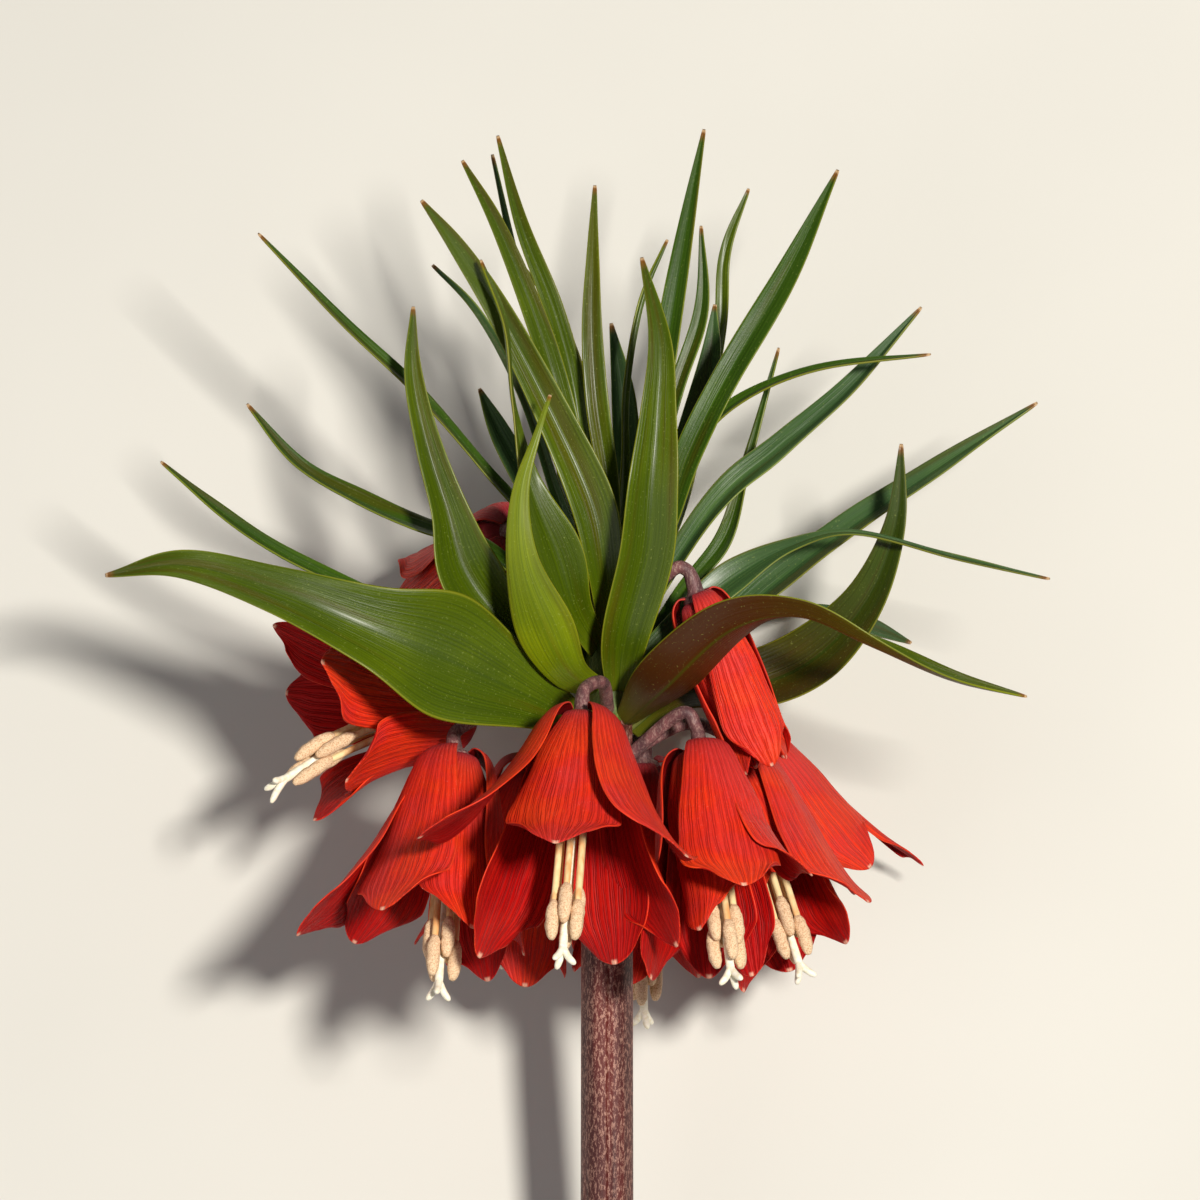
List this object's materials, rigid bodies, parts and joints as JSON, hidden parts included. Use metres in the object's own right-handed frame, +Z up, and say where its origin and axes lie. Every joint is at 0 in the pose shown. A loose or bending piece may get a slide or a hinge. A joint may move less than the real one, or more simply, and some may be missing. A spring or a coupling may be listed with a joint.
{
  "type": "cut flowering stem",
  "caption": "Cut crown imperial stem that lies on a surface: a round stalk with a ring of nodding red bells below a tuft of long channelled leaves.",
  "frame": {"origin": "centre of the bounding box at the surface that the stem lies on", "axes": "+Y along the stem from its cut end to the crown, +Z up, +X to the right of the plant seen from its front, which faces up"},
  "size_m": [0.2256, 0.4362, 0.1418],
  "materials": {
    "scape": "satin, mauve-brown plant skin with cream flecks",
    "tepal": "soft satin petal",
    "stamen": "matt, grainy",
    "leaf_sun": "waxy gloss",
    "leaf_shade": "waxy gloss",
    "leaf_blue": "waxy bloom"
  },
  "bodies": {
    "root": {"bell_back_left": "tepal", "bell_back_right": "tepal", "bell_far_right": "tepal", "bell_front": "tepal", "bell_half_open": "tepal", "bell_left": "tepal", "bell_left_front": "tepal", "bell_right": "tepal", "bell_right_front": "tepal", "bell_upper_left": "tepal", "leaf_back_centre": "leaf_blue", "leaf_back_left": "leaf_blue", "leaf_back_right": "leaf_blue", "leaf_behind_left": "leaf_blue", "leaf_behind_right": "leaf_blue", "leaf_centre": "leaf_sun", "leaf_front_broad": "leaf_sun", "leaf_front_small": "leaf_sun", "leaf_front_twisted": "leaf_sun", "leaf_inner_curl": "leaf_sun", "leaf_inner_left": "leaf_sun", "leaf_inner_sliver": "leaf_blue", "leaf_inner_tall": "leaf_sun", "leaf_inner_thin": "leaf_sun", "leaf_left_broad": "leaf_sun", "leaf_left_low": "leaf_shade", "leaf_left_middle": "leaf_shade", "leaf_left_sliver": "leaf_blue", "leaf_left_thin": "leaf_shade", "leaf_left_upright": "leaf_sun", "leaf_long_diagonal": "leaf_sun", "leaf_rest_left": "leaf_blue", "leaf_rest_right": "leaf_blue", "leaf_right_arching": "leaf_sun", "leaf_right_channelled": "leaf_blue", "leaf_right_dark": "leaf_shade", "leaf_right_hooked": "leaf_shade", "leaf_right_long": "leaf_shade", "leaf_right_narrow": "leaf_shade", "leaf_right_pale": "leaf_sun", "leaf_right_ribbon": "leaf_blue", "leaf_right_silver": "leaf_blue", "leaf_right_tall": "leaf_shade", "leaf_right_thin": "leaf_shade", "stamens_back_left": "stamen", "stamens_back_right": "stamen", "stamens_far_right": "stamen", "stamens_front": "stamen", "stamens_left": "stamen", "stamens_left_front": "stamen", "stamens_right": "stamen", "stamens_right_front": "stamen", "stamens_upper_left": "stamen", "stem": "scape"}
  },
  "joints": []
}
